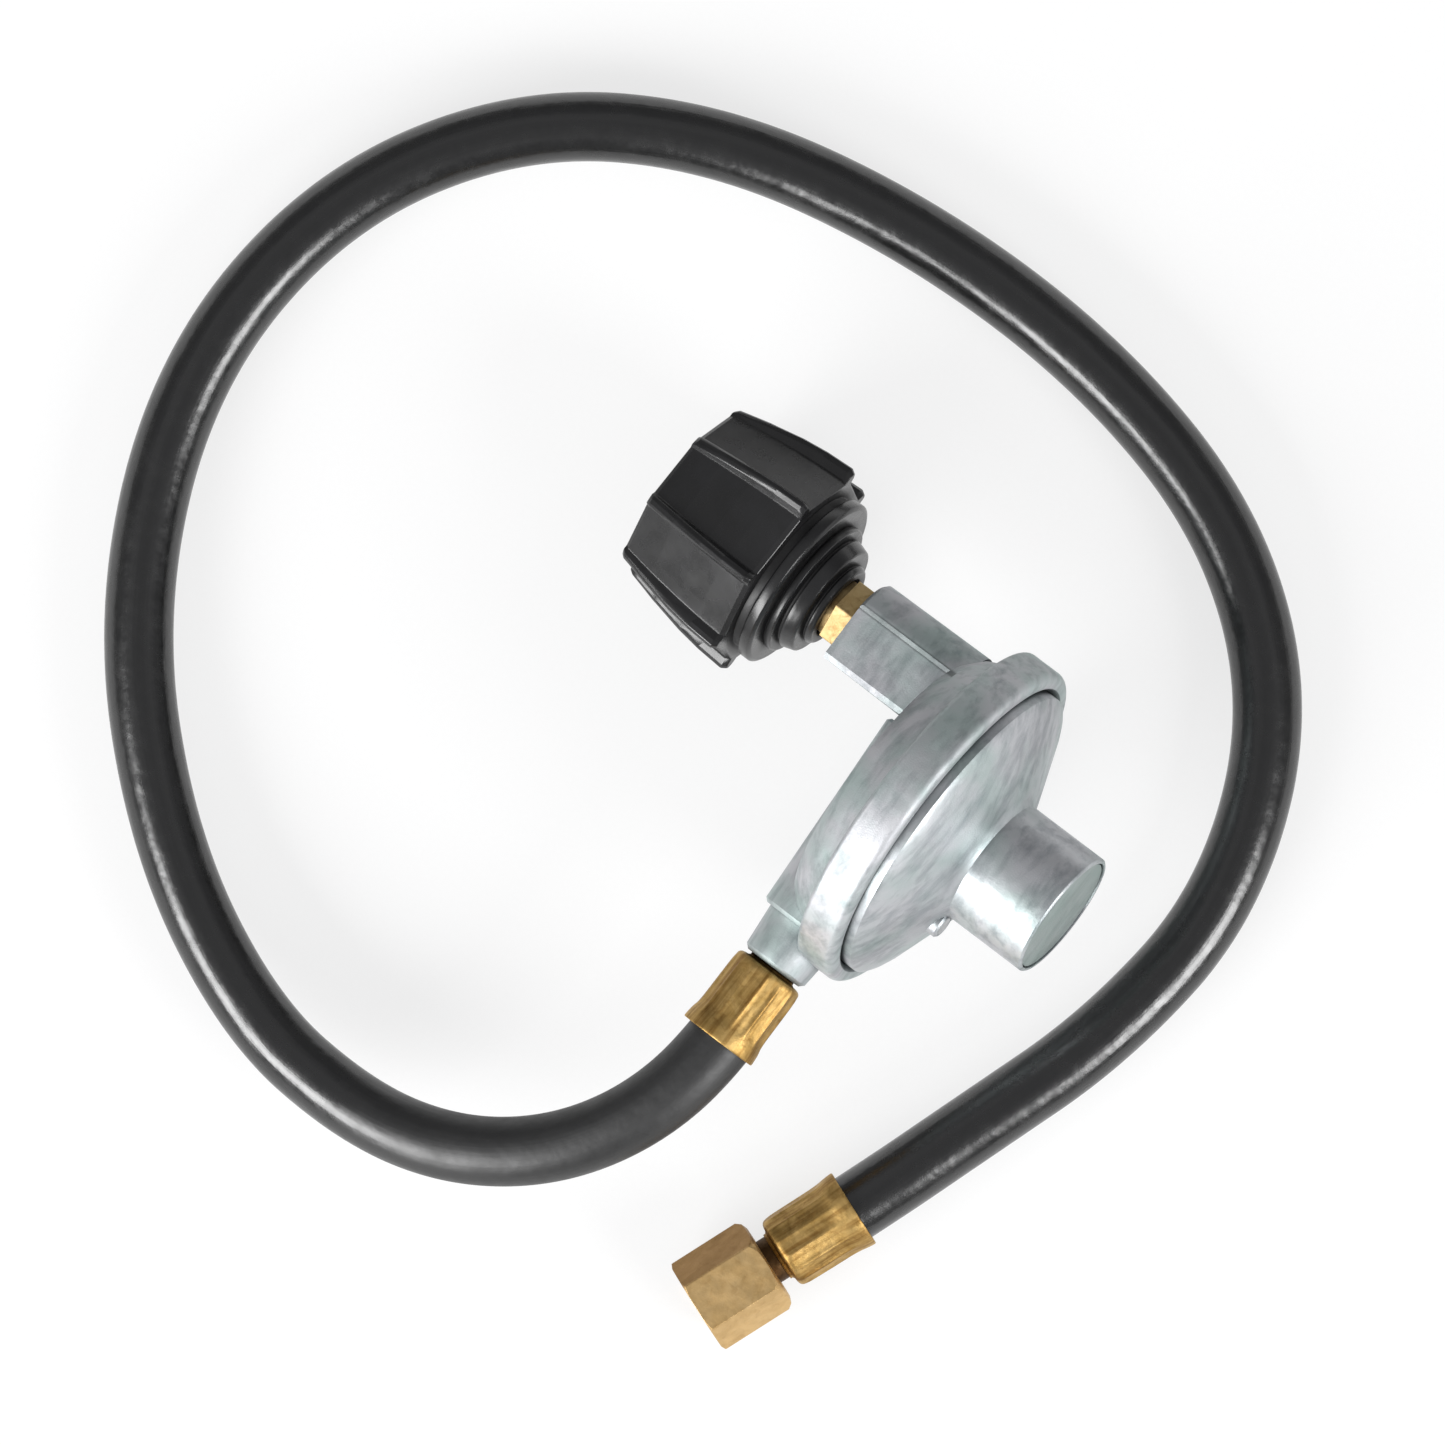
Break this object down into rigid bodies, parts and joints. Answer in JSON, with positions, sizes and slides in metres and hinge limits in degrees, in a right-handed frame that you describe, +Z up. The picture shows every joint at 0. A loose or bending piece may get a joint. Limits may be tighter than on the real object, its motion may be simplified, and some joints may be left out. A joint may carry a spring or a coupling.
{
  "type": "propane regulator hose",
  "caption": "Low-pressure gas regulator with a hand-tightened inlet coupling, a capped spring tower and a long free hose that ends in a swivel flare nut.",
  "frame": {"origin": "on the table, under the middle of the regulator's outline without the hose's free end", "axes": "+X runs from the coupling nut towards the spring tower, which leans up by 13.4 degrees; -Y is the way the hose leaves the regulator; +Z is up"},
  "size_m": [0.2628, 0.2421, 0.0814],
  "materials": {
    "zinc_body": "as-cast and tumbled, light grey",
    "zinc_bonnet": "as-cast and tumbled, light grey",
    "cap_zinc": "flat, satin grey",
    "steel": "bright zinc-plated steel",
    "spring_steel": "spring wire",
    "nitrile": "matt black nitrile",
    "brass_fitting": "machined",
    "brass_ferrule": "crimped, bright",
    "flare_brass": "satin machined",
    "black_plastic": "satin black",
    "bushing_plastic": "grey thermoplastic",
    "acetal": "white acetal",
    "screen_mesh": "fine wire cloth, drawn as a disc",
    "hose_rubber": "smooth glossy black cover"
  },
  "bodies": {
    "regulator": {"regulator_body": "zinc_body", "bonnet": "zinc_bonnet", "bonnet_cap": "cap_zinc", "vent_screen": "screen_mesh", "adjusting_screw": "acetal", "main_spring": "spring_steel", "diaphragm": "nitrile", "lever_pin": "steel", "orifice": "brass_fitting", "inlet_nipple": "brass_fitting", "nose_seal": "nitrile", "check_retainer": "brass_fitting", "check_spring": "spring_steel", "outlet_insert": "brass_fitting", "outlet_ferrule": "brass_ferrule", "hose": "hose_rubber", "flare_ferrule": "brass_ferrule", "flare_stem": "brass_fitting"},
    "coupling": {"coupling_nut": "black_plastic", "thermal_bushing": "bushing_plastic"},
    "flare": {"flare_nut": "flare_brass"},
    "diaphragm_stack": {"diaphragm_plate": "steel", "diaphragm_washer": "steel", "diaphragm_stem": "steel"},
    "valve_lever": {"lever": "steel"},
    "plunger": {"valve_plunger": "brass_fitting", "seat_disc": "nitrile"},
    "check_poppet": {"flow_poppet": "acetal"}
  },
  "joints": [
    {"name": "coupling_spin", "type": "hinge", "parent": "regulator", "child": "coupling", "pos_m": [-0.03211, 0.03212, 0.02697], "axis": [0.973, 0, 0.2309], "continuous": true},
    {"name": "flare_spin", "type": "hinge", "parent": "regulator", "child": "flare", "pos_m": [0.05313, -0.09838, 0.00953], "axis": [-0.3477, -0.9376, 0], "continuous": true},
    {"name": "diaphragm_travel", "type": "slide", "parent": "regulator", "child": "diaphragm_stack", "axis": [0.973, 0, 0.2309], "range_m": [0, 0.0016], "stiffness_N_per_m": 1200, "springref_m": -0.0075, "deforming": ["diaphragm", "main_spring"]},
    {"name": "lever_pivot", "type": "hinge", "parent": "regulator", "child": "valve_lever", "pos_m": [0.02082, 0.02437, 0.03953], "axis": [-0.2309, 0, 0.973], "range_deg": [0, 5.8]},
    {"name": "plunger_travel", "type": "slide", "parent": "regulator", "child": "plunger", "axis": [-0.973, 0, -0.2309], "range_m": [0, 0.0008]},
    {"name": "poppet_travel", "type": "slide", "parent": "regulator", "child": "check_poppet", "axis": [0.973, 0, 0.2309], "range_m": [0, 0.0025], "stiffness_N_per_m": 300, "springref_m": -0.002, "deforming": ["check_spring"]}
  ],
  "couplings": [
    {"joint": "lever_pivot", "follows": "diaphragm_travel", "rad_per_m": 62.5},
    {"joint": "plunger_travel", "follows": "diaphragm_travel", "ratio": 0.48438}
  ]
}
